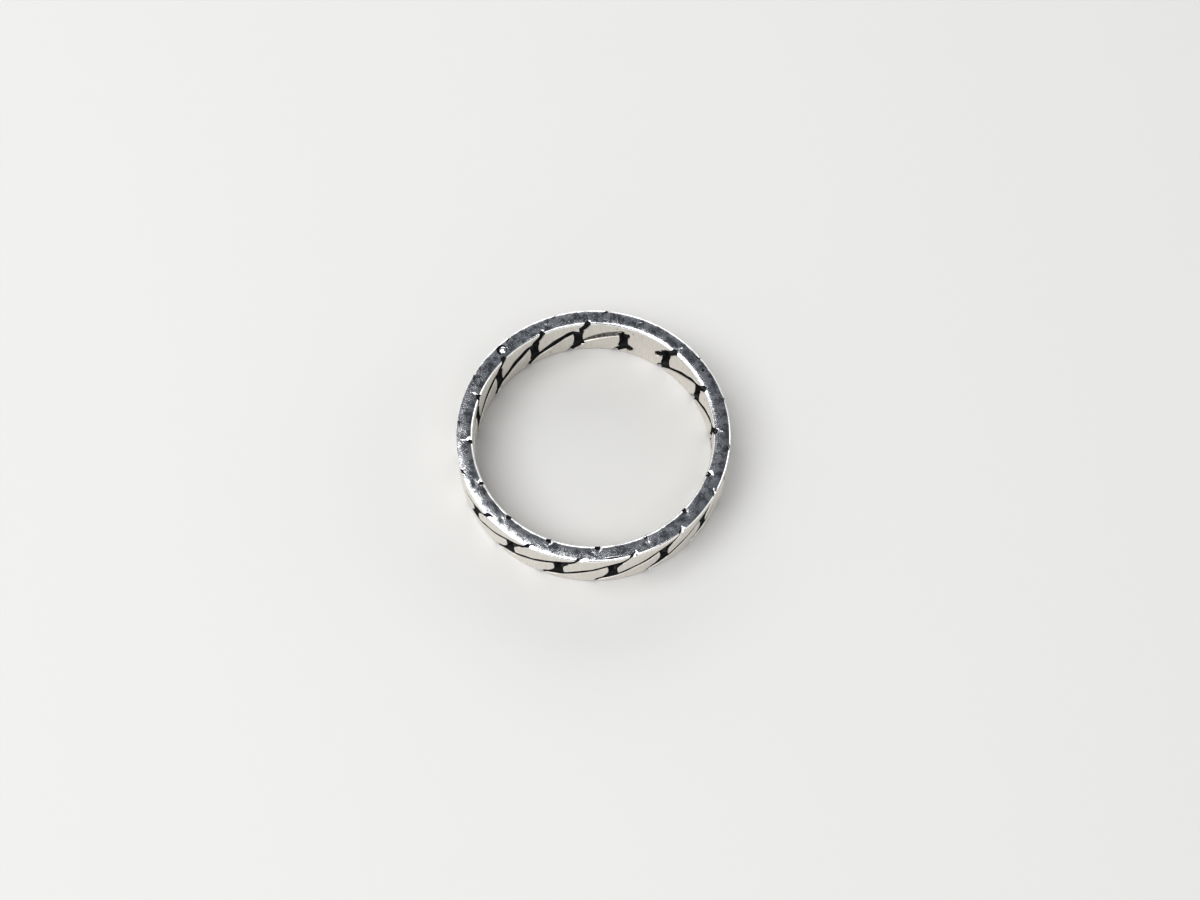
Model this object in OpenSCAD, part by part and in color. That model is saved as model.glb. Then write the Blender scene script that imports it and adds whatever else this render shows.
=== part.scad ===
// A finger ring made of a flat-filed curb chain, soldered into one stiff hoop.
// It lies on its side: the finger axis is Z, and Z = 0 is the side it rests on.
// All sizes are in millimetres.

/* [Band] */
// Diameter of the finger hole
finger_d = 19.2; // [18.8:0.1:19.6]
// Thickness of the band, from the inside face to the outside face
wall_t = 1.4; // [1.3:0.05:1.5]
// Width of the band along the finger
band_w = 4.6; // [4.4:0.1:4.8]
// Radius of the four filed edges
edge_r = 0.3; // [0.2:0.05:0.4]

/* [Links] */
// Number of links round the band
link_count = 16; // [15:1:17]
// Where the gap of the first link stands, in degrees from the X axis
first_gap = 30; // [0:1:22]
// Width of the gap in the middle of a link, at its waist
gap_w = 0.66; // [0.5:0.02:0.8]
// Height of the gap, as a share of the band's width
gap_share = 0.54; // [0.45:0.01:0.58]

/* [Grooves] */
// Width of the grooves between neighbouring pads
groove_w = 0.28; // [0.2:0.02:0.34]
// Depth of the grooves on the outside face
outer_depth = 0.45; // [0.2:0.05:0.5]
// Depth of the grooves on the inside face
inner_depth = 0.14; // [0.1:0.02:0.3]

/* [Hidden] */

$fn = 96;
inner_r = finger_d / 2;
outer_r = inner_r + wall_t;
pitch_deg = 360 / link_count;
gap_h = band_w * gap_share;
// The round end of a pad leans to one side of the gap's middle
pad_end_r = 1.3;
pad_end_lift = 0.035 * band_w;
// How far a gap flares at its corners
gap_flare = 1.1;
// The plain soldered junction follows this link, counted from the first
solder_link = 1;
// Cutters run this far past a face
over = 0.5;
// Where a groove leaves the band at a rim, in pitches from the gap's middle
outer_run = 0.45;
inner_run = 0.27;
// Length of the two short groove ends beside the plain junction
lobe = 1;
// The groove between two pads climbs from one gap's corner to the next gap's other corner
line_rise = 0.2 * band_w;
line_end = 0.44;

// Distance along a face of radius r that spans a share of one link's pitch
function along(r, share) = 2 * r * sin(share * pitch_deg / 2);

// Direction of a path at its point i
function heading(path, i) =
    let (a = path[max(i - 1, 0)], b = path[min(i + 1, len(path) - 1)])
    (b - a) / norm(b - a);

// Points beside a path, half a groove away
function beside(path, half) = [
    for (i = [0 : len(path) - 1])
        let (d = heading(path, i)) path[i] + half * [-d.y, d.x]
];

// A strip of even width along a path
module strip(path) {
    left = beside(path, groove_w / 2);
    right = beside(path, -groove_w / 2);
    polygon(concat(left, [for (i = [len(right) - 1 : -1 : 0]) right[i]]));
}

// The gap as a face shows it: pinched by the round ends of the pads on both sides
module gap_outline() {
    reach = gap_w / 2 + pad_end_r;
    difference() {
        square([gap_flare, gap_h], center = true);
        translate([reach, pad_end_lift]) circle(pad_end_r);
        translate([-reach, -pad_end_lift]) circle(pad_end_r);
    }
}

// The groove from a gap's top corner up to the rim, on a face of radius r
module tail_outline(r, run) {
    far = along(r, run);
    strip([
        [0.1 * far, 0.44 * gap_h],
        [0.35 * far, 0.56 * gap_h],
        [0.7 * far, 0.38 * band_w],
        [1.12 * far, 0.54 * band_w]
    ]);
}

// The short end of a groove beside the plain junction
module lobe_outline() {
    strip([
        [0.1 * lobe, 0.42 * gap_h],
        [0.6 * lobe, 0.5 * gap_h],
        [lobe, 0.47 * gap_h]
    ]);
}

// The groove between two pads, drawn about the middle of a junction
module line_outline(r) {
    far = along(r, line_end);
    strip([
        [-far, -line_rise],
        [-0.5 * far, -0.32 * line_rise],
        [0.5 * far, 0.32 * line_rise],
        [far, line_rise]
    ]);
}

// Stands an outline on the band at an angle and cuts it along the radius
module radial(angle, from_r, to_r)
    rotate([0, 0, angle])
    translate([from_r, 0, 0])
    rotate([90, 0, 90])
    linear_extrude(to_r - from_r) children();

// Cuts for one link: its gap and the grooves that run from the gap to the rims
module link_cuts(angle, has_left, has_right) {
    radial(angle, inner_r - over, outer_r + over)
        square([gap_w * 0.9, gap_h - gap_w], center = true);
    radial(angle, outer_r - outer_depth, outer_r + over) {
        gap_outline();
        if (has_right) tail_outline(outer_r, outer_run); else lobe_outline();
        rotate(180) if (has_left) tail_outline(outer_r, outer_run); else lobe_outline();
    }
    radial(angle, inner_r - over, inner_r + inner_depth) mirror([1, 0]) {
        gap_outline();
        if (has_left) tail_outline(inner_r, inner_run); else lobe_outline();
        rotate(180) if (has_right) tail_outline(inner_r, inner_run); else lobe_outline();
    }
}

// Cuts for one junction: the groove between its two pads, outside and inside
module junction_cuts(angle) {
    radial(angle, outer_r - outer_depth, outer_r + over) line_outline(outer_r);
    radial(angle, inner_r - over, inner_r + inner_depth) mirror([1, 0]) line_outline(inner_r);
}

// The section of the band, with its four filed edges
module band_section() {
    translate([inner_r + edge_r, 0]) square([wall_t - 2 * edge_r, band_w]);
    translate([inner_r, edge_r]) square([wall_t, band_w - 2 * edge_r]);
    for (x = [inner_r + edge_r, outer_r - edge_r], y = [edge_r, band_w - edge_r])
        translate([x, y]) circle(edge_r);
}

module curb_band() {
    color([0.62, 0.6, 0.56])
    difference() {
        rotate_extrude() band_section();
        translate([0, 0, band_w / 2])
        for (i = [0 : link_count - 1]) {
            angle = first_gap + i * pitch_deg;
            soldered_right = i == solder_link;
            soldered_left = i == solder_link + 1;
            link_cuts(angle, !soldered_left, !soldered_right);
            if (!soldered_right) junction_cuts(angle + pitch_deg / 2);
        }
    }
}

curb_band();
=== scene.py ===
import math
import random

import bmesh
import bpy
from mathutils import Matrix, Vector, noise


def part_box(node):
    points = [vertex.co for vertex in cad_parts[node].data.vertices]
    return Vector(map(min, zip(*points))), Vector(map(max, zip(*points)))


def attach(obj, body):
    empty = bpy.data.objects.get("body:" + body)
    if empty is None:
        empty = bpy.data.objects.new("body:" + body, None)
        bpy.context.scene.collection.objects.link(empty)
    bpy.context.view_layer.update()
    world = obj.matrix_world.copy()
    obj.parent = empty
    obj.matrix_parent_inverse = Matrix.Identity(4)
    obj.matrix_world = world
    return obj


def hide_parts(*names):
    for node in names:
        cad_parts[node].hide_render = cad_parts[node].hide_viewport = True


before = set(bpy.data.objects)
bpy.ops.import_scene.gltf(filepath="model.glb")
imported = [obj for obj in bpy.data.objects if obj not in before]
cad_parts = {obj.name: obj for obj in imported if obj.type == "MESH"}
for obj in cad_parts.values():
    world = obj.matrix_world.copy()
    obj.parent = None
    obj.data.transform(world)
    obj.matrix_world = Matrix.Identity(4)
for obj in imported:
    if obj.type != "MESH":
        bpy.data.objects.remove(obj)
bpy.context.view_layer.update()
print("frame loaded")

mm = 0.001

# The filed band: a curb chain was soldered into a hoop and filed flat on all four sides.
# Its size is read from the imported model, in millimetres.
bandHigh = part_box("curb_band")[1]
band = {
    "outerR": bandHigh.x / mm,
    "width": bandHigh.z / mm,
    "wall": 1.4,
    "rimRound": 0.2,    # radius of the filed edges
    "crown": 0.06,      # the two sides bulge this much in their middle
    "chamfer": 0.06,    # and their inner edge falls away by this much more
    "chamferFrom": 0.64,    # from this far inside the middle of the wall, as a share of half the wall
    "chamferCurve": 1.5,
    "uneven": 0.014,    # hand filing leaves the sides this uneven
    "unevenScale": 0.9,     # waves for each millimetre
    "sidesOnly": 8,     # the power that keeps both near the sides and off the pads
    "roundSteps": 5,    # on each edge
    "sideSteps": 10,    # across each side
    "faceSteps": 12,    # across the outside and the inside
    "turnSteps": 320,   # round the ring
    "weld": 1e-5,       # points nearer than this are joined
}
band["innerR"] = band["outerR"] - band["wall"]
band["middleR"] = band["outerR"] - band["wall"] / 2
band["middleZ"] = band["width"] / 2

# One curb link: an oval of round wire, twisted so that it lies flat between its neighbours.
# Under the filed pads it shows as round flanks in the gaps and as shoulders in the notches.
link = {
    "count": 16,
    "firstAngle": 30,    # degrees from X to the first link's gap
    "solderLink": 1,     # the plain soldered stretch follows this link
    "halfLength": 3.0,   # along the chain, to the wire's middle
    "halfWidth": 1.9,    # across the chain, to the wire's middle
    "wireR": 0.9,
    "twist": 17.5,       # degrees for each millimetre along the chain
    "sunk": 0.1,         # the straight link sits this far inside the middle of the wall
    "belowFace": 0.24,   # its round wire ends this far below the pads' faces
    "belowSide": 0.2,    # and this far below the ring's two sides
    "stations": 64,
    "wireSides": 36,
    "nudge": 0.01,       # a small step round the wire's oval, in radians, that gives its direction
    "seed": 7,
    # how much each link's wire strays, in degrees, in millimetres for its rise and as a share of its size
    "turnStray": 0.25,
    "riseStray": 0.04,
    "leanStray": 1.2,
    "twistStray": 2.0,
    "sizeStray": 0.012,
    # how far each gap stands from its even place, in degrees
    "strays": [-2, -0.8, 0, 0, 0.3, 0.6, 1, 2, 1.5, 0.4, 0, 0, 0, -0.8, -1.5, -2],
}
pitch = 360 / link["count"]


def gapAngle(number):
    return link["firstAngle"] + pitch * number + link["strays"][number % link["count"]]


# Every tool that cuts the band carries how black its faces leave it, from 0 for polished silver to 1
def newTool():
    bm = bmesh.new()
    bm.verts.layers.float.new("black")
    return bm


def meshFrom(bm, name, black=0.0):
    # the boolean keeps a corner's value where a new corner is made, so the values go to the corners
    bmesh.ops.recalc_face_normals(bm, faces=bm.faces)
    painted = bm.verts.layers.float.get("black")
    values = [black if painted is None else vert[painted] for vert in bm.verts]
    if painted is not None:
        bm.verts.layers.float.remove(painted)
    bm.verts.index_update()
    corners = bm.loops.layers.float.new("black")
    for face in bm.faces:
        for loop in face.loops:
            loop[corners] = values[loop.vert.index]
    mesh = bpy.data.meshes.new(name)
    bm.to_mesh(mesh)
    bm.free()
    piece = bpy.data.objects.new(name, mesh)
    bpy.context.scene.collection.objects.link(piece)
    return piece


def combine(piece, other, operation):
    modifier = piece.modifiers.new("combine", "BOOLEAN")
    modifier.operation = operation
    modifier.solver = "MANIFOLD"
    modifier.object = other
    bpy.context.view_layer.update()
    mesh = bpy.data.meshes.new_from_object(piece.evaluated_get(bpy.context.evaluated_depsgraph_get()))
    piece.modifiers.remove(modifier)
    piece.data = mesh
    bpy.data.objects.remove(other)


def smoothPath(stops, steps):
    # a soft curve through the stops, each one a row of numbers
    rows = [Vector(stop) for stop in stops]
    rows = [2 * rows[0] - rows[1]] + rows + [2 * rows[-1] - rows[-2]]
    path = []
    for before, start, end, after in zip(rows, rows[1:], rows[2:], rows[3:]):
        for step in range(steps):
            t = step / steps
            path.append(
                0.5 * (2 * start + (end - before) * t
                       + (2 * before - 5 * start + 4 * end - after) * t ** 2
                       + (3 * start - before - 3 * end + after) * t ** 3)
            )
    path.append(rows[-2])
    return path


# Places on the ring's four faces: along the face, across it and the depth below it

def onOutside(angle):
    def place(along, up, deep):
        turn = math.radians(angle) + along / band["outerR"]
        r = band["outerR"] - deep
        return Vector((r * math.cos(turn), r * math.sin(turn), band["middleZ"] + up))
    return place


def onInside(angle):
    def place(along, up, deep):
        turn = math.radians(angle) + along / band["innerR"]
        r = band["innerR"] + deep
        return Vector((r * math.cos(turn), r * math.sin(turn), band["middleZ"] + up))
    return place


def onSide(angle, side):
    # side is 1 for the upper side and -1 for the one that the ring rests on
    def place(along, out, deep):
        turn = math.radians(angle) + side * along / band["middleR"]
        z = band["middleZ"] + side * (band["middleZ"] - deep)
        r = band["middleR"] + out
        return Vector((r * math.cos(turn), r * math.sin(turn), z))
    return place


def bridgeLoops(bm, loops):
    for near, far in zip(loops, loops[1:]):
        bmesh.ops.bridge_loops(bm, edges=near + far)
    for end in (loops[0], loops[-1]):
        bmesh.ops.edgeloop_fill(bm, edges=end)


def closedLoop(bm, points, blacks):
    painted = bm.verts.layers.float["black"]
    verts = [bm.verts.new(point) for point in points]
    for vert, black in zip(verts, blacks):
        vert[painted] = black
    return [bm.edges.new(pair) for pair in zip(verts, verts[1:] + verts[:1])]


# Half the section of a groove: a worn edge, a wall and a round foot. A broad worn edge is the flatter
# shoulder of a link.
grooveShape = {
    "above": 0.35,          # the tool stands this far out of the face
    "lip": 0.02,            # and closes in from this far above it
    "dropLeast": 0.04,      # the worn edge is this deep, in millimetres,
    "dropShare": 0.45,      # and this share of its width more
    "lipOut": 0.66,         # the lip meets the worn edge at this share of its width
    "lipDown": 0.06,        # and of its depth
    "lipSlope": 2.75,
    "edge": [(20, 0), (45, 0), (70, 0.1), (90, 0.6)],   # degrees round the worn edge, and its black there
    "foot": [(0.88, 0.55), (0.55, 0.9)],    # shares of the half width and of the wall's height
    "leastDepth": 1.3,      # the groove is at least this many times deeper than its worn edge
}


def grooveSide(half, depth, worn):
    # from above the face down, each point with how black it is
    shape = grooveShape
    drop = min(worn, shape["dropLeast"] + shape["dropShare"] * worn)
    lead = (shape["lipDown"] * drop + shape["lip"]) * shape["lipSlope"] * worn / drop
    lipAcross = half + shape["lipOut"] * worn + lead
    side = [(lipAcross, -shape["above"], 0), (lipAcross, -shape["lip"], 0)]
    for degrees, black in shape["edge"]:
        a = math.radians(degrees)
        side.append((half + worn * (1 - math.sin(a)), drop * (1 - math.cos(a)), black))
    below = max(depth, drop * shape["leastDepth"])
    return side + [(half * across, drop + (below - drop) * down, 1) for across, down in shape["foot"]]


def cutGroove(bm, path, place, blackest=1.0):
    # columns of a row: along, across, half width, depth, worn edge on the left and on the right
    loops = []
    for number, row in enumerate(path):
        ahead = path[min(number + 1, len(path) - 1)] - path[max(number - 1, 0)]
        aside = Vector((-ahead[1], ahead[0])).normalized()
        half, depth, wornLeft, wornRight = row[2:]
        left = grooveSide(half, depth, wornLeft)
        right = [(-across, deep, black) for across, deep, black in grooveSide(half, depth, wornRight)]
        section = left + [(0, depth, 1)] + right[::-1]
        points = [
            place(row[0] + across * aside.x, row[1] + across * aside.y, deep)
            for across, deep, _ in section
        ]
        loops.append(closedLoop(bm, points, [black * blackest for _, _, black in section]))
    bridgeLoops(bm, loops)


# The groove between two pads runs from rim to rim past both gaps.
# Half of it, from the middle of the pads' joint to the upper rim; the other half is this one turned over.
# Columns: along the face, up, half width, depth, worn edge on the left and on the right
groove = {
    "outside": [
        (0, 0, 0.22, 0.36, 0.05, 0.05),
        (0.64, 0.33, 0.22, 0.36, 0.05, 0.05),
        (1.4, 0.82, 0.22, 0.42, 0.05, 0.05),
        (2.16, 1.18, 0.22, 0.5, 0.05, 0.06),
        (2.84, 1.38, 0.27, 0.45, 0.06, 0.08),
        (3.3, 1.7, 0.2, 0.42, 0.07, 0.1),
        (3.62, 2.1, 0.14, 0.3, 0.08, 0.12),
        (3.92, 2.6, 0.1, 0.18, 0.08, 0.12),
    ],
    "inside": [
        (0, 0, 0.235, 0.3, 0.05, 0.05),
        (-0.62, 0.42, 0.225, 0.3, 0.05, 0.05),
        (-1.2, 0.84, 0.21, 0.36, 0.05, 0.05),
        (-1.74, 1.16, 0.2, 0.42, 0.05, 0.05),
        (-2.12, 1.4, 0.29, 0.42, 0.08, 0.06),
        (-2.46, 1.8, 0.25, 0.38, 0.08, 0.07),
        (-2.66, 2.24, 0.22, 0.32, 0.1, 0.1),
        (-2.82, 2.8, 0.22, 0.3, 0.1, 0.12),
    ],
    "steps": 5,
    "wander": 0.04,     # how far the file and the wire stray, in millimetres
    "widthStray": (0.9, 1.15),
    "depthStray": (0.9, 1.1),
    "overGap": 3,       # beside the soldered stretch the groove starts at this row
    "shortEnd": 5,      # and a tail that would run into the stretch ends at this row
    "pocketGaps": range(7, 15),     # beside these gaps the inner groove leaves the rim whole
    "pocketEnd": 6,     # its tail ends at this row there, and a pocket in the side takes over
    "endShares": (0.75, 0.6),   # half width and depth left where a groove stops on the face
    "outsideShift": 0.15,   # the outside pattern stands this far round from the gaps' middles
    "insideShift": -0.03,
    # how wide the groove is inside, between each link's pads and the next one's
    "insideSizes": [1, 1, 1, 1.35, 1.5, 1.4, 1.2, 1, 1, 1, 1, 1, 1, 1, 1.1, 1.2],
    "sizedRows": 3,     # it keeps that width as far as this row
}

# Broad short ends of grooves inside, beside the soldered stretch: columns as above, from the gap's middle
lobes = [
    {"gap": 0, "black": 0.8, "rows": [
        (0.15, 0.8, 0.14, 0.34, 0.06, 0.06), (0.42, 0.58, 0.26, 0.34, 0.06, 0.06),
        (0.66, 0.24, 0.31, 0.34, 0.06, 0.06), (0.86, -0.06, 0.25, 0.3, 0.06, 0.06),
        (0.95, -0.24, 0.06, 0.24, 0.05, 0.05),
    ]},
    {"gap": 1, "black": 0.7, "rows": [
        (-0.2, -0.6, 0.14, 0.34, 0.06, 0.06), (-0.38, -0.86, 0.3, 0.34, 0.06, 0.06),
        (-0.52, -1.2, 0.38, 0.34, 0.06, 0.06), (-0.5, -1.5, 0.24, 0.3, 0.06, 0.06),
        (-0.46, -1.68, 0.06, 0.24, 0.05, 0.05),
    ]},
    # the broad, shallow, grey joint beyond the second gap
    {"gap": 1, "black": 0.54, "rows": [
        (-0.45, 1.1, 0.12, 0.1, 0.05, 0.05), (-0.1, 1.1, 0.3, 0.15, 0.05, 0.05),
        (0.6, 0.86, 0.4, 0.16, 0.05, 0.05), (1.4, 0.44, 0.42, 0.16, 0.05, 0.05),
        (2.2, 0.0, 0.38, 0.16, 0.05, 0.05), (3.0, -0.46, 0.28, 0.15, 0.05, 0.05),
        (3.5, -0.76, 0.1, 0.1, 0.05, 0.05),
    ]},
    {"gap": 1, "black": 0.7, "rows": [
        (0.5, 1.2, 0.14, 0.3, 0.06, 0.06), (0.1, 1.34, 0.2, 0.3, 0.06, 0.06),
        (-0.24, 1.2, 0.24, 0.3, 0.06, 0.06), (-0.34, 0.8, 0.2, 0.3, 0.06, 0.06),
        (-0.28, 0.4, 0.08, 0.3, 0.05, 0.05),
    ]},
]


def turnedOver(row):
    return (-row[0], -row[1]) + tuple(row[2:])


def strayed(row, chance):
    slip = groove["wander"]
    return (
        row[0] + chance.uniform(-slip, slip), row[1] + chance.uniform(-slip, slip),
        row[2] * chance.uniform(*groove["widthStray"]), row[3] * chance.uniform(*groove["depthStray"]),
        row[4], row[5],
    )


def sizedInside(rows, size):
    # the columns of the half width and the depth
    sized = [row[:2] + (row[2] * size, row[3] * size) + row[4:] for row in rows[:groove["sizedRows"]]]
    return sized + rows[groove["sizedRows"]:]


def closedEnd(rows):
    # a groove that stops on the face rises and narrows at its end
    last = rows[-1]
    halfShare, depthShare = groove["endShares"]
    return rows[:-1] + [last[:2] + (last[2] * halfShare, last[3] * depthShare) + last[4:]]


chance = random.Random(link["seed"])
grooves = newTool()
for number in range(link["count"]):
    joint = (gapAngle(number) + gapAngle(number + 1)) / 2
    fromSolder = number - link["solderLink"]
    places = {
        "outside": onOutside(joint + math.degrees(groove["outsideShift"] / band["outerR"])),
        "inside": onInside(joint + math.degrees(groove["insideShift"] / band["innerR"])),
    }
    for face, place in places.items():
        upper = [strayed(row, chance) for row in groove[face]]
        lower = [strayed(turnedOver(row), chance) for row in groove[face]]
        if face == "inside":
            upper = sizedInside(upper, groove["insideSizes"][number])
            lower = sizedInside(lower, groove["insideSizes"][number])
        cutTop = (fromSolder == -1 and face == "outside") or (fromSolder == 1 and face == "inside")
        cutFoot = fromSolder == 1 and face == "outside"
        if cutTop:
            upper = closedEnd(upper[:groove["shortEnd"]])
        elif face == "inside" and number in groove["pocketGaps"]:
            upper = closedEnd(upper[:groove["pocketEnd"]])
        if cutFoot:
            lower = closedEnd(lower[:groove["shortEnd"]])
        elif face == "inside" and number + 1 in groove["pocketGaps"]:
            lower = closedEnd(lower[:groove["pocketEnd"]])
        if fromSolder == 0 or (fromSolder == 1 and face == "inside"):
            cutGroove(grooves, smoothPath(upper[groove["overGap"]:], groove["steps"]), place)
            cutGroove(grooves, smoothPath(lower[groove["overGap"]:], groove["steps"]), place)
        else:
            # from the lower rim to the middle, then on to the upper one
            cutGroove(grooves, smoothPath(lower[:0:-1] + upper, groove["steps"]), place)

# The gap through each link. The round ends of the pads pinch it, and it opens towards the tails.
gap = {
    "halfHeight": 1.26,
    "waist": 0.35,          # half width in its middle
    "outsideFlare": 0.95,   # outside it is this much wider at the corner that a tail leaves
    "insideFlare": 0.34,    # and inside this much
    "narrowFlare": 0.42,    # and this much at the corner that a line between pads reaches
    "flarePower": 2.4,      # the flare keeps to the corners
    "upPower": 0.75,        # these two make the outline squarer than an oval
    "alongPower": 0.4,
    "sides": 48,
    # depth below a face, how much wider the gap is there, the share of the flare it keeps, and its black
    "levels": [
        (-0.35, 0.1, 1, 0), (-0.02, 0.055, 1, 0), (0.006, 0.036, 1, 0), (0.016, 0.016, 1, 0),
        (0.038, 0.004, 1, 0.1), (0.06, 0, 1, 0.7), (0.1, 0, 0.95, 1), (0.4, -0.02, 0.45, 1),
    ],
}


def gapLoop(bm, place, lean, level):
    # lean is 1 where the wide corner is on the right of the top, and -1 where it is on the left
    deep, wider, kept, black = level
    wideFlare = gap["outsideFlare"] if lean > 0 else gap["insideFlare"]
    points = []
    for number in range(gap["sides"]):
        turn = 2 * math.pi * (number + 0.5) / gap["sides"]
        share = math.copysign(abs(math.sin(turn)) ** gap["upPower"], math.sin(turn))
        side = math.copysign(1, math.cos(turn))
        flare = wideFlare if share * side * lean > 0 else gap["narrowFlare"]
        half = gap["waist"] + wider + kept * flare * abs(share) ** gap["flarePower"]
        along = side * half * abs(math.cos(turn)) ** gap["alongPower"]
        points.append(place(along, (gap["halfHeight"] + wider) * share, deep))
    return closedLoop(bm, points, [black] * len(points))


gaps = newTool()
for number in range(link["count"]):
    outside = onOutside(gapAngle(number) + math.degrees(groove["outsideShift"] / band["outerR"]))
    inside = onInside(gapAngle(number) + math.degrees(groove["insideShift"] / band["innerR"]))
    outer = [gapLoop(gaps, outside, 1, level) for level in gap["levels"]]
    inner = [gapLoop(gaps, inside, -1, level) for level in gap["levels"]]
    bridgeLoops(gaps, outer + inner[::-1])

ends = newTool()
for lobe in lobes:
    angle = gapAngle(link["solderLink"] + lobe["gap"])
    cutGroove(ends, smoothPath(lobe["rows"], groove["steps"]), onInside(angle), lobe["black"])

# On the two sides the outer groove ends in a short hook and the inner groove in a notch, and a fine
# solder seam crosses the wall beside the notch.
# Columns as above, along counted from the gap and across from the wall's middle.
sideCuts = {
    "hook": [
        (1.34, 1.0, 0.1, 0.34, 0.06, 0.06),
        (1.48, 0.72, 0.09, 0.32, 0.06, 0.06),
        (1.64, 0.54, 0.075, 0.26, 0.06, 0.06),
        (1.82, 0.43, 0.055, 0.18, 0.05, 0.05),
        (2.0, 0.36, 0.03, 0.1, 0.05, 0.05),
        (2.16, 0.33, 0.012, 0.05, 0.03, 0.03),
    ],
    # how large each gap's notch and hook are
    "notchSizes": [0.9, 0.9, 0.9, 0.9, 0.9, 0.8, 0.8, 1, 0.95, 1.05, 1, 1, 0.7, 1, 0.9, 0.9],
    "hookSizes": [0.8, 0.8, 1, 0.7, 0.8, 0.9, 0.8, 0.9, 1.6, 1.1, 1, 0.9, 0.8, 0.8, 0.8, 0.7],
    # the inner groove's notch where it leaves the rim whole
    "pocket": [
        (-1.0, -0.63, 0.1, 0.1, 0.04, 0.05),
        (-0.97, -0.58, 0.23, 0.26, 0.06, 0.08),
        (-0.93, -0.48, 0.25, 0.32, 0.08, 0.1),
        (-0.87, -0.35, 0.14, 0.22, 0.08, 0.1),
        (-0.84, -0.25, 0.03, 0.07, 0.06, 0.06),
    ],
    "notch": [
        (-0.98, -1.0, 0.25, 0.34, 0.12, 0.14),
        (-0.95, -0.72, 0.24, 0.32, 0.14, 0.18),
        (-0.9, -0.54, 0.19, 0.26, 0.14, 0.18),
        (-0.85, -0.4, 0.1, 0.16, 0.12, 0.14),
        (-0.82, -0.3, 0.03, 0.07, 0.08, 0.08),
    ],
    "seam": [
        (-0.84, -0.42, 0.03, 0.09, 0.1, 0.06),
        (-0.9, -0.2, 0.012, 0.05, 0.08, 0.04),
        (-0.96, 0.05, 0.008, 0.03, 0.05, 0.03),
        (-1.02, 0.35, 0.008, 0.03, 0.03, 0.03),
        (-1.06, 0.6, 0.012, 0.06, 0.04, 0.04),
        (-1.12, 0.85, 0.02, 0.11, 0.06, 0.06),
    ],
    "steps": 4,
    "seamBlack": 0.6,
    "seamsSeen": 0.65,  # the share of the seams that the solder and the file left open
}

# Beside a hook or a notch the worn end of a link slopes down. Each facet is three corners of its plane:
# along from the gap, across from the wall's middle, and depth; they reach past the rims.
facets = {
    # outward and a little towards the hook
    "hookLeft": [(1.4, 1.1, 0.3), (2.06, 0.3, 0), (3.1, 1.1, 0.16)],
    # more towards the hook
    "hookRight": [(1.4, 1.1, 0.38), (2.0, 0.2, 0), (2.5, 1.1, 0.06)],
    "notchLeft": [(-1.5, -0.6, 0), (-0.95, -0.6, 0.12), (-1.05, -0.08, 0.17)],
    "notchRight": [(-0.86, -0.05, 0.02), (-0.86, -0.62, 0.2), (-0.45, -0.4, 0)],
}
facetPlaces = {
    "hookLeft": (7, 8, 9, 10),
    "hookRight": (11, 12, 13, 14, 15),
    "notchLeft": (7, 8, 9),
    "notchRight": (10, 11, 12, 13, 14),
}
facetAbove = 0.4    # a facet's tool stands this far out of the side


def addFacet(bm, corners, place):
    verts = [bm.verts.new(place(*corner)) for corner in corners]
    verts += [bm.verts.new(place(along, out, -facetAbove)) for along, out, _ in corners]
    bmesh.ops.convex_hull(bm, input=verts)


shoulders = newTool()
for kind, numbers in facetPlaces.items():
    for number in numbers:
        for side in (1, -1):
            addFacet(shoulders, facets[kind], onSide(gapAngle(number), side))


def resized(row, size):
    # the places stay, and the widths and the depth change
    return (row[0], row[1]) + tuple(size * value for value in row[2:])


# The soldered stretch has neither the hook of the gap before it nor the notch of the gap after it.
# Seen from the lower side the two gaps change places.
plainHook = {1: link["solderLink"], -1: link["solderLink"] + 1}
plainNotch = {1: link["solderLink"] + 1, -1: link["solderLink"]}

hooks = newTool()
notches = newTool()
seams = newTool()
for number in range(link["count"]):
    for side in (1, -1):
        place = onSide(gapAngle(number), side)
        hookSize = sideCuts["hookSizes"][number]
        hook = [resized(strayed(row, chance), hookSize) for row in sideCuts["hook"]]
        notchSize = sideCuts["notchSizes"][number]
        notchKind = "pocket" if number in groove["pocketGaps"] else "notch"
        notch = [resized(strayed(row, chance), notchSize) for row in sideCuts[notchKind]]
        seam = [strayed(row, chance) for row in sideCuts["seam"]]
        if number != plainHook[side]:
            cutGroove(hooks, smoothPath(hook, sideCuts["steps"]), place)
        if number != plainNotch[side]:
            cutGroove(notches, smoothPath(notch, sideCuts["steps"]), place)
        if chance.random() < sideCuts["seamsSeen"]:
            cutGroove(seams, smoothPath(seam, sideCuts["steps"]), place, sideCuts["seamBlack"])

# Gouges in the upper side
gouge = {
    # angle and distance from the axis of both ends, half width and depth
    "lines": [
        (276.2, 10.74, 282.2, 10.78, 0.045, 0.14),
        (275.2, 10.57, 281.0, 10.6, 0.02, 0.08),
        (67.0, 10.72, 69.6, 10.46, 0.03, 0.04),
    ],
    # places along a gouge, from its middle, and the share of its depth there
    "rise": [(-1, 0.3), (-0.9, 1), (0, 1), (0.9, 1), (1, 0.3)],
    "worn": (0.03, 0.05),
    "black": 0.8,
    "steps": 3,
    # the flat between the first two, given like the facets above
    "flat": [(-0.5, 0.31, 0.05), (0.62, 0.34, 0.03), (0.62, 0.42, 0.05), (-0.5, 0.4, 0.075)],
    "flatAngle": 277.9,
}
nicks = newTool()
for startAngle, startR, endAngle, endR, half, depth in gouge["lines"]:
    middle = (startAngle + endAngle) / 2
    reach = math.radians(endAngle - startAngle) / 2 * band["middleR"]
    rows = []
    for share, rise in gouge["rise"]:
        out = startR + (endR - startR) * (share + 1) / 2 - band["middleR"]
        rows.append((share * reach, out, half, depth * rise) + gouge["worn"])
    cutGroove(nicks, smoothPath(rows, gouge["steps"]), onSide(middle, 1), gouge["black"])
addFacet(nicks, gouge["flat"], onSide(gouge["flatAngle"], 1))

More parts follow.
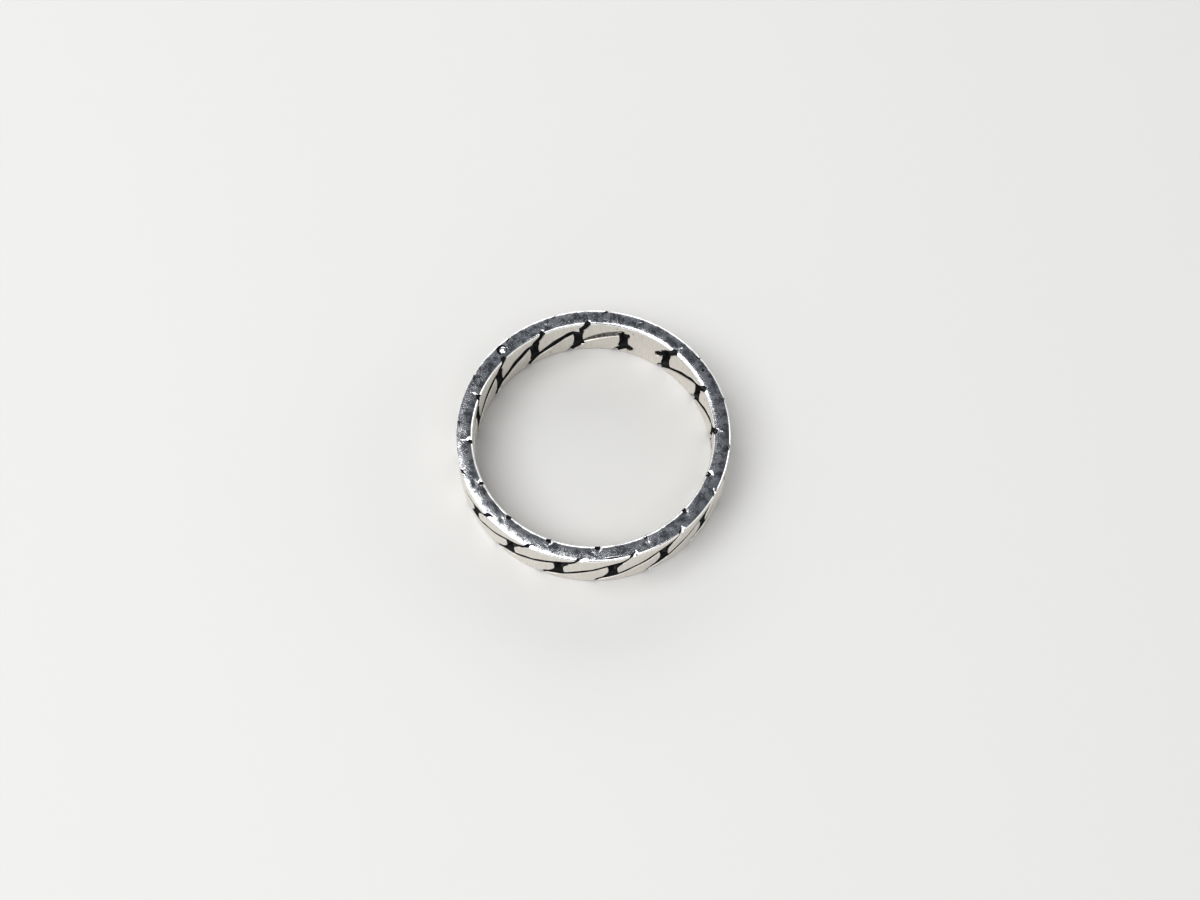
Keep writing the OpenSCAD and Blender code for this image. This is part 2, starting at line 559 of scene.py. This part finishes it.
# Between a hook and the next notch the filed side dips a little, where one link ends and the next begins
valley = {
    "along": 2.74,          # from the gap
    "out": 0.02,            # from the middle of the wall
    "turn": -34,            # degrees from the way round the ring
    "size": (1.3, 0.72, 0.3),
    "depth": 0.023,
    "stray": 0.12,
    "subdivisions": 4,
}
valleys = newTool()
for number in range(link["count"]):
    for side in (1, -1):
        if number == plainHook[side]:
            continue
        angle = gapAngle(number)
        along = valley["along"] + chance.uniform(-1, 1) * valley["stray"]
        middle = onSide(angle, side)(along, valley["out"], valley["depth"] - valley["size"][2])
        turn = angle + side * math.degrees(along / band["middleR"]) + 90 + valley["turn"]
        shape = (
            Matrix.Translation(middle) @ Matrix.Rotation(math.radians(turn), 4, "Z")
            @ Matrix.Diagonal(valley["size"] + (1,))
        )
        bmesh.ops.create_icosphere(valleys, subdivisions=valley["subdivisions"], radius=1, matrix=shape)


def handFiled(point):
    # the file leaves the sides a little uneven
    up = (point.z - band["middleZ"]) / band["middleZ"]
    wave = 0.5 + 0.5 * noise.noise(point * band["unevenScale"])
    low = band["uneven"] * wave * abs(up) ** band["sidesOnly"]
    return Vector((point.x, point.y, point.z - math.copysign(low, up)))


# The band before cutting: a rectangle with rounded corners and bulging sides, spun round the finger axis
section = bmesh.new()
bmesh.ops.create_grid(
    section, x_segments=1, y_segments=1, size=0.5,
    matrix=Matrix.Translation((band["middleR"], 0, band["middleZ"])) @ Matrix.Rotation(math.pi / 2, 4, "X"),
)
for vert in section.verts:
    vert.co.x = band["middleR"] + (vert.co.x - band["middleR"]) * band["wall"]
    vert.co.z = band["middleZ"] + (vert.co.z - band["middleZ"]) * band["width"]
bmesh.ops.bevel(
    section, geom=section.verts[:], offset=band["rimRound"], affect="VERTICES",
    segments=band["roundSteps"], profile=0.5, material=-1,
)
longEdges = [edge for edge in section.edges if edge.calc_length() > band["width"] / 2]
shortEdges = [edge for edge in section.edges if band["wall"] / 2 < edge.calc_length() < band["width"] / 2]
bmesh.ops.subdivide_edges(section, edges=longEdges, cuts=band["faceSteps"] - 1)
bmesh.ops.subdivide_edges(section, edges=shortEdges, cuts=band["sideSteps"] - 1)
for vert in section.verts:
    out = (vert.co.x - band["middleR"]) / (band["wall"] / 2)
    up = (vert.co.z - band["middleZ"]) / band["middleZ"]
    inward = max(0, -out - band["chamferFrom"]) / (1 - band["chamferFrom"])
    bulge = band["crown"] * out ** 2 + band["chamfer"] * inward ** band["chamferCurve"]
    vert.co.z -= math.copysign(bulge * abs(up) ** band["sidesOnly"], up)
innerEdges = [edge for edge in section.edges if len(edge.link_faces) > 1]
bmesh.ops.delete(section, geom=section.faces[:], context="FACES_ONLY")
bmesh.ops.delete(section, geom=innerEdges, context="EDGES")
bmesh.ops.spin(
    section, geom=section.verts[:] + section.edges[:], axis=(0, 0, 1), cent=(0, 0, 0), dvec=(0, 0, 0),
    angle=2 * math.pi, steps=band["turnSteps"], use_merge=True,
)
bmesh.ops.remove_doubles(section, verts=section.verts, dist=band["weld"])
for vert in section.verts:
    vert.co = handFiled(vert.co)
ring = meshFrom(section, "curbBand")
print("band spun")
tools = {
    "valleys": valleys, "grooves": grooves, "gaps": gaps, "ends": ends, "shoulders": shoulders,
    "hooks": hooks, "notches": notches, "seams": seams, "nicks": nicks,
}
for name, tool in tools.items():
    combine(ring, meshFrom(tool, name), "DIFFERENCE")
    print(name, "done:", len(ring.data.polygons), "faces")


def filedDown(point):
    # a point of the round wire that stands out of the band is filed down below the pads
    r = math.hypot(point.x, point.y)
    outward = r - band["middleR"]
    upward = point.z - band["middleZ"]
    mostOut = band["wall"] / 2 - link["belowFace"]
    mostUp = band["middleZ"] - link["belowSide"] - band["crown"] * (outward / band["wall"] * 2) ** 2
    outward = max(-mostOut, min(mostOut, outward))
    upward = max(-mostUp, min(mostUp, upward))
    scale = (band["middleR"] + outward) / r
    return Vector((point.x * scale, point.y * scale, band["middleZ"] + upward))


def wireMiddle(turn):
    # x runs along the chain, y across it and z outward
    x = link["halfLength"] * math.cos(turn)
    across = link["halfWidth"] * math.sin(turn)
    twist = math.radians(link["twist"]) * x
    return Vector((x, across * math.cos(twist), -across * math.sin(twist)))


def oneLink():
    bm = bmesh.new()
    loops = []
    for station in range(link["stations"]):
        turn = 2 * math.pi * station / link["stations"]
        ahead = (wireMiddle(turn + link["nudge"]) - wireMiddle(turn - link["nudge"])).normalized()
        aside = Vector((math.cos(turn), math.sin(turn), 0))
        aside = (aside - ahead * aside.dot(ahead)).normalized()
        across = Matrix((aside, ahead.cross(aside), ahead)).transposed().to_4x4()
        across.translation = wireMiddle(turn)
        circle = bmesh.ops.create_circle(
            bm, segments=link["wireSides"], radius=link["wireR"], matrix=across,
        )
        # each edge once, and in the same order in every run
        loops.append(list(dict.fromkeys(edge for vert in circle["verts"] for edge in vert.link_edges)))
    for near, far in zip(loops, loops[1:] + loops[:1]):
        bmesh.ops.bridge_loops(bm, edges=near + far)
    mesh = bpy.data.meshes.new("oneLink")
    bm.to_mesh(mesh)
    bm.free()
    return mesh


def addLink(bm, linkMesh, angle, chance):
    turn = angle + link["turnStray"] * chance.uniform(-1, 1)
    z = band["middleZ"] + link["riseStray"] * chance.uniform(-1, 1)
    lean = link["leanStray"] * chance.uniform(-1, 1)
    twist = link["twistStray"] * chance.uniform(-1, 1)
    size = 1 + link["sizeStray"] * chance.uniform(-1, 1)
    place = (
        Matrix.Rotation(math.radians(turn), 4, "Z")
        @ Matrix.Translation((band["middleR"] - link["sunk"], 0, z))
        @ Matrix.Rotation(math.radians(lean), 4, "X")
        @ Matrix.Rotation(math.radians(90), 4, "Z")
        @ Matrix.Rotation(math.radians(90 + twist), 4, "X")
    )
    present = len(bm.verts)
    bm.from_mesh(linkMesh)
    made = list(bm.verts)[present:]
    bmesh.ops.scale(bm, vec=(size, size, 1), verts=made)
    bmesh.ops.transform(bm, matrix=place, verts=made)
    for vert in made:
        vert.co = filedDown(vert.co)


linkMesh = oneLink()
evenLinks = bmesh.new()
oddLinks = bmesh.new()
for number in range(link["count"]):
    # neighbouring links overlap, so every other one is added first
    addLink(evenLinks if number % 2 == 0 else oddLinks, linkMesh, gapAngle(number), chance)
for name, wires in (("evenLinks", evenLinks), ("oddLinks", oddLinks)):
    combine(ring, meshFrom(wires, name, black=1.0), "UNION")
    print(name, "done:", len(ring.data.polygons), "faces")

# Small marks of casting and wear on the upper side: angle, distance from the axis, radius and depth
marks = {
    "pits": [
        (135.5, 10.4, 0.45, 0.5),   # this one holds the ball of solder
        (31.5, 10.42, 0.13, 0.12),
    ],
    "pitBlack": 0.75,
    "ball": (135.2, 10.36, 0.38, 0.42),
    "ballFlat": 0.5,                # its height as a share of its width
    "ballLean": (12, -10),          # degrees about X and Y
    "subdivisions": 3,
}


def roundMark(bm, mark, flat=1.0, lean=(0, 0)):
    angle, r, radius, depth = mark
    turn = math.radians(angle)
    height = band["width"] - depth + radius * flat
    place = Matrix.Translation((r * math.cos(turn), r * math.sin(turn), height))
    place @= Matrix.Rotation(math.radians(lean[0]), 4, "X") @ Matrix.Rotation(math.radians(lean[1]), 4, "Y")
    place @= Matrix.Diagonal((1, 1, flat, 1))
    bmesh.ops.create_icosphere(bm, subdivisions=marks["subdivisions"], radius=radius, matrix=place)


pits = bmesh.new()
for mark in marks["pits"]:
    roundMark(pits, mark)
combine(ring, meshFrom(pits, "pits", black=marks["pitBlack"]), "DIFFERENCE")
ball = bmesh.new()
roundMark(ball, marks["ball"], marks["ballFlat"], marks["ballLean"])
combine(ring, meshFrom(ball, "ball"), "UNION")


def dropChips(piece, fewest):
    # small bits that the tools cut free fall away
    bm = bmesh.new()
    bm.from_mesh(piece.data)
    seen = set()
    chips = []
    for start in bm.verts:
        if start in seen:
            continue
        seen.add(start)
        bit = [start]
        for vert in bit:
            for edge in vert.link_edges:
                other = edge.other_vert(vert)
                if other not in seen:
                    seen.add(other)
                    bit.append(other)
        if len(bit) < fewest:
            chips += bit
    bmesh.ops.delete(bm, geom=chips, context="VERTS")
    bm.to_mesh(piece.data)
    bm.free()
    print("chips dropped:", len(chips), "points")


ringEnd = {
    "fewestPoints": 1000,   # a loose bit with fewer points is a chip
    "sharpAngle": 34,
}
dropChips(ring, ringEnd["fewestPoints"])
ring.data.transform(Matrix.Scale(mm, 4))
for polygon in ring.data.polygons:
    polygon.use_smooth = True
ring.data.set_sharp_from_angle(angle=math.radians(ringEnd["sharpAngle"]))
soften = ring.modifiers.new("soften", "WEIGHTED_NORMAL")
soften.keep_sharp = True
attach(ring, "root")
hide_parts("curb_band")
print("ring finished:", len(ring.data.polygons), "faces")

# The photo's camera stands near and looks down at the ring.
view = {
    "elevation": 66.95,
    "distance": 150 * mm,
    "focalPixels": 1855,
    "frameWidth": 1200,
    "sensor": 36,
    "nearest": 5 * mm,
    "slide": (0.563 * mm, -0.54 * mm),  # right and up, from the ring's middle
}
camera = bpy.data.objects.new("camera", bpy.data.cameras.new("camera"))
bpy.context.scene.collection.objects.link(camera)
bpy.context.scene.camera = camera
camera.data.sensor_width = view["sensor"]
camera.data.lens = view["focalPixels"] * view["sensor"] / view["frameWidth"]
camera.data.clip_start = view["nearest"]
lift = math.radians(view["elevation"])
back = Vector((0, -math.cos(lift), math.sin(lift)))
up = Vector((0, math.sin(lift), math.cos(lift)))
camera.location = Vector((0, 0, band["middleZ"] * mm)) + back * view["distance"]
camera.location += Vector((view["slide"][0], 0, 0)) + up * view["slide"][1]
camera.rotation_euler = (math.radians(90) - lift, 0, 0)

# A plain pale floor takes the place of the paper.
paleFloor = {
    "half": 1.5,        # of its width, in metres
    "colour": (0.62, 0.615, 0.6, 1),
    "rough": 0.85,
}
floorMesh = bmesh.new()
bmesh.ops.create_grid(floorMesh, x_segments=1, y_segments=1, size=paleFloor["half"])
floor = meshFrom(floorMesh, "floor")
floorPaint = bpy.data.materials.new("floorPaint")
floorPaint.use_nodes = True
floorShader = floorPaint.node_tree.nodes["Principled BSDF"]
floorShader.inputs["Base Color"].default_value = paleFloor["colour"]
floorShader.inputs["Roughness"].default_value = paleFloor["rough"]
floor.data.materials.append(floorPaint)


def addNode(tree, kind, settings=None, **sockets):
    # a socket goes by its name, or by n and its number
    node = tree.nodes.new(kind)
    for name, value in (settings or {}).items():
        setattr(node, name, value)
    for name, value in sockets.items():
        numbered = name[0] == "n" and name[1:].isdigit()
        socket = node.inputs[int(name[1:])] if numbered else node.inputs[name]
        if isinstance(value, bpy.types.NodeSocket):
            tree.links.new(value, socket)
        else:
            socket.default_value = value
    return node


def calc(tree, operation, first, second=0.0, clamp=False):
    settings = {"operation": operation, "use_clamp": clamp}
    return addNode(tree, "ShaderNodeMath", settings, n0=first, n1=second).outputs[0]


def scaled(tree, value, share):
    return calc(tree, "MULTIPLY", value, share)


def strayOf(tree, value, share):
    # up and down around nothing
    return scaled(tree, calc(tree, "SUBTRACT", value, 0.5), share)


def ramp(tree, value, low, high, atLow=0.0, atHigh=1.0):
    # a soft step from one value to another
    node = addNode(
        tree, "ShaderNodeMapRange", {"interpolation_type": "SMOOTHSTEP"},
        n0=value, n1=low, n2=high, n3=atLow, n4=atHigh,
    )
    return node.outputs[0]


def blend(tree, share, first, second):
    return addNode(tree, "ShaderNodeMix", None, n0=share, n2=first, n3=second).outputs[0]


def blendColour(tree, share, first, second):
    node = addNode(tree, "ShaderNodeMix", {"data_type": "RGBA"}, n0=share, n6=first, n7=second)
    return node.outputs[2]


def noiseOf(tree, place, kind):
    scale, detail, roughness = kind
    node = addNode(
        tree, "ShaderNodeTexNoise", None, Vector=place, Scale=scale, Detail=detail, Roughness=roughness,
    )
    return node.outputs["Fac"]


# The silver's look. A zone is two distances below a face, in millimetres: the finish starts at the
# first and is full at the second. A noise is its scale for each millimetre, detail and roughness.
silverFinish = {
    "rim": (0.95, 0.94, 0.92, 1),
    "black": (0.006, 0.006, 0.007, 1),
    "padRough": 0.36,
    "sideRough": 0.22,
    "rimRough": 0.14,
    "blackRough": 0.7,
    "roughStray": 0.16,
    "blackSteps": (0.3, 0.62),      # of the cut faces' own value, where the black starts and is full
    "blackStray": 0.3,
    "grain": (5.0, 3.0, 0.5),
    "sideZone": (0.22, 0.1),        # below the two sides
    "facetZone": (0.6, 0.5),        # below them too: a facet reaches further down
    "padZone": (0.06, 0.02),        # below the pads, where the facets' finish ends
    "rimZone": (0.22, 0.06),        # below the pads
    "bump": 0.35,
    "bumpDepth": 0.02 * mm,
    "specular": 0.2,
}

# The worn sides: cool silver with patches and flecks of tarnish, dents and short scratches
sideLook = {
    "clean": (0.92, 0.93, 0.95, 1),
    "dark": (0.2, 0.21, 0.235, 1),
    "cloud": (1.5, 3.0, 0.5),
    "cloudShare": 1.3,
    "fleck": (6.0, 3.0, 0.5),
    "fleckShare": 0.35,
    "cleanSteps": (0.6, 1.02),      # of both together
    "dent": (8.0, 2.0, 0.5),
    "dentHeight": 0.5,
    "scratchTurns": (12, 63, 118, 160),     # directions, in degrees
    "scratchShift": (0.37, 0.11),   # each direction's own pattern, for each degree
    "scratchSize": (0.3, 0.06, 1),  # length and width
    "scratch": (1.0, 1.0, 0.5),
    "scratchSteps": (0.6, 0.72),
    "scratchShare": 0.45,           # how much a scratch cleans
    "scratchHeight": -0.12,
}

# The filed pads: warm satin silver with fine upright lines and a few dark specks
padLook = {
    "clean": (0.82, 0.785, 0.73, 1),
    "shade": (0.72, 0.685, 0.63, 1),
    "speck": (0.16, 0.145, 0.13, 1),
    "lineScale": (16, 16, 0.9),
    "line": (1.0, 2.0, 0.5),
    "lineSteps": (0.3, 0.7),
    "lineHeight": 0.1,
    "speckScale": 0.8,
    "speckSteps": (0.045, 0.08),    # a speck's full and whole radius, times its scale
}


def silverZones(tree, inMm, look):
    # where a point stands between the outside and the inside, and between the two sides
    times = {"operation": "MULTIPLY"}
    flat = addNode(tree, "ShaderNodeVectorMath", times, n0=inMm, n1=(1, 1, 0)).outputs[0]
    radius = addNode(tree, "ShaderNodeVectorMath", {"operation": "LENGTH"}, n0=flat).outputs["Value"]
    height = addNode(tree, "ShaderNodeSeparateXYZ", None, n0=inMm).outputs["Z"]
    outward = calc(tree, "ABSOLUTE", calc(tree, "SUBTRACT", radius, band["middleR"]))
    upward = calc(tree, "ABSOLUTE", calc(tree, "SUBTRACT", height, band["middleZ"]))

    def zone(distance, face, depths, *ends):
        return ramp(tree, distance, face - depths[0], face - depths[1], *ends)

    nearSide = zone(upward, band["middleZ"], look["sideZone"])
    nearFacet = zone(upward, band["middleZ"], look["facetZone"])
    offPads = zone(outward, band["wall"] / 2, look["padZone"], 1.0, 0.0)
    onSides = calc(tree, "MAXIMUM", nearSide, calc(tree, "MULTIPLY", nearFacet, offPads))
    nearRim = zone(outward, band["wall"] / 2, look["rimZone"])
    return onSides, calc(tree, "MULTIPLY", nearRim, onSides)


def sideSurface(tree, inMm, look):
    # its colour and its relief
    shiftX, shiftY = look["scratchShift"]
    scratches = None
    for degrees in look["scratchTurns"]:
        turned = addNode(
            tree, "ShaderNodeMapping", {"vector_type": "TEXTURE"}, Vector=inMm,
            Location=(degrees * shiftX, degrees * shiftY, 0), Rotation=(0, 0, math.radians(degrees)),
            Scale=look["scratchSize"],
        ).outputs[0]
        streak = ramp(tree, noiseOf(tree, turned, look["scratch"]), *look["scratchSteps"])
        scratches = streak if scratches is None else calc(tree, "MAXIMUM", scratches, streak)
    flecks = scaled(tree, noiseOf(tree, inMm, look["fleck"]), look["fleckShare"])
    clouds = scaled(tree, noiseOf(tree, inMm, look["cloud"]), look["cloudShare"])
    clean = ramp(tree, calc(tree, "ADD", flecks, clouds), *look["cleanSteps"])
    clean = calc(tree, "ADD", clean, scaled(tree, scratches, look["scratchShare"]), True)
    dents = scaled(tree, noiseOf(tree, inMm, look["dent"]), look["dentHeight"])
    relief = calc(tree, "ADD", scaled(tree, scratches, look["scratchHeight"]), dents)
    return blendColour(tree, clean, look["dark"], look["clean"]), relief


def padSurface(tree, inMm, look):
    # its colour and its relief
    stretched = addNode(tree, "ShaderNodeMapping", None, Vector=inMm, Scale=look["lineScale"]).outputs[0]
    lines = noiseOf(tree, stretched, look["line"])
    specks = addNode(
        tree, "ShaderNodeTexVoronoi", {"feature": "F1"},
        Vector=inMm, Scale=look["speckScale"], Randomness=1.0,
    ).outputs["Distance"]
    specks = ramp(tree, specks, *look["speckSteps"], 1.0, 0.0)
    colour = blendColour(tree, ramp(tree, lines, *look["lineSteps"]), look["shade"], look["clean"])
    relief = calc(tree, "SUBTRACT", scaled(tree, lines, look["lineHeight"]), specks)
    return blendColour(tree, specks, colour, look["speck"]), relief


def silverMaterial(look):
    material = bpy.data.materials.new("silver")
    material.use_nodes = True
    tree = material.node_tree
    shader = tree.nodes["Principled BSDF"]
    place = addNode(tree, "ShaderNodeTexCoord").outputs["Object"]
    inMm = addNode(tree, "ShaderNodeVectorMath", {"operation": "SCALE"}, n0=place, Scale=1 / mm).outputs[0]
    onSides, nearRim = silverZones(tree, inMm, look)
    sideColour, sideRelief = sideSurface(tree, inMm, sideLook)
    padColour, padRelief = padSurface(tree, inMm, padLook)

    # what was cut below the filed faces is black, with an uneven edge
    cut = addNode(tree, "ShaderNodeAttribute", {"attribute_name": "black"}).outputs["Fac"]
    grain = noiseOf(tree, inMm, look["grain"])
    cut = calc(tree, "ADD", cut, strayOf(tree, grain, look["blackStray"]))
    black = ramp(tree, cut, *look["blackSteps"])

    colour = blendColour(tree, onSides, padColour, sideColour)
    colour = blendColour(tree, nearRim, colour, look["rim"])
    colour = blendColour(tree, black, colour, look["black"])
    tree.links.new(colour, shader.inputs["Base Color"])

    rough = ramp(tree, onSides, 0.0, 1.0, look["padRough"], look["sideRough"])
    rough = calc(tree, "ADD", rough, strayOf(tree, grain, look["roughStray"]))
    rough = blend(tree, nearRim, rough, look["rimRough"])
    rough = blend(tree, black, rough, look["blackRough"])
    tree.links.new(rough, shader.inputs["Roughness"])

    relief = blend(tree, onSides, padRelief, sideRelief)
    bump = addNode(
        tree, "ShaderNodeBump", None, Strength=look["bump"], Distance=look["bumpDepth"], Height=relief,
    )
    tree.links.new(bump.outputs[0], shader.inputs["Normal"])
    tree.links.new(calc(tree, "SUBTRACT", 1.0, black), shader.inputs["Metallic"])
    shader.inputs["Specular IOR Level"].default_value = look["specular"]
    return material


ring.data.materials.clear()
ring.data.materials.append(silverMaterial(silverFinish))
print("silver finished")


def softbox(name, place, size, power):
    lamp = bpy.data.lights.new(name, "AREA")
    lamp.shape = "RECTANGLE"
    lamp.size = size[0]
    lamp.size_y = size[1]
    lamp.energy = power
    holder = bpy.data.objects.new(name, lamp)
    bpy.context.scene.collection.objects.link(holder)
    holder.location = place
    holder.rotation_euler = (-Vector(place)).to_track_quat("-Z", "Y").to_euler()


# Each light has its place, its size and its power.
studio = {
    "lights": {
        "keyLight": ((-0.236, -0.075, 0.46), (0.42, 0.42), 2.8),    # shines on the front left
        "rimLight": ((0.11, -0.23, 0.44), (0.2, 0.2), 0.42),        # on the facets beside the hooks
        "backLight": ((0.0, 0.42, 0.24), (0.5, 0.2), 0.6),
        "fillLight": ((0.5, 0.1, 0.16), (0.3, 0.2), 0.3),
    },
    "horizon": (1.2, 1.2, 1.22, 1),
    "overhead": (0.07, 0.078, 0.09, 1),
    "skySteps": (0.1, 0.8),     # it darkens from the first height to the second
}
for name, (place, size, power) in studio["lights"].items():
    softbox(name, place, size, power)
world = bpy.data.worlds.new("studio")
world.use_nodes = True
skyTree = world.node_tree
direction = addNode(skyTree, "ShaderNodeTexCoord").outputs["Generated"]
rise = addNode(skyTree, "ShaderNodeSeparateXYZ", None, n0=direction).outputs["Z"]
rise = ramp(skyTree, rise, *studio["skySteps"])
sky = blendColour(skyTree, rise, studio["horizon"], studio["overhead"])
skyTree.links.new(sky, skyTree.nodes["Background"].inputs["Color"])
bpy.context.scene.world = world
bpy.context.scene.view_settings.view_transform = "Standard"

print("scene ready")
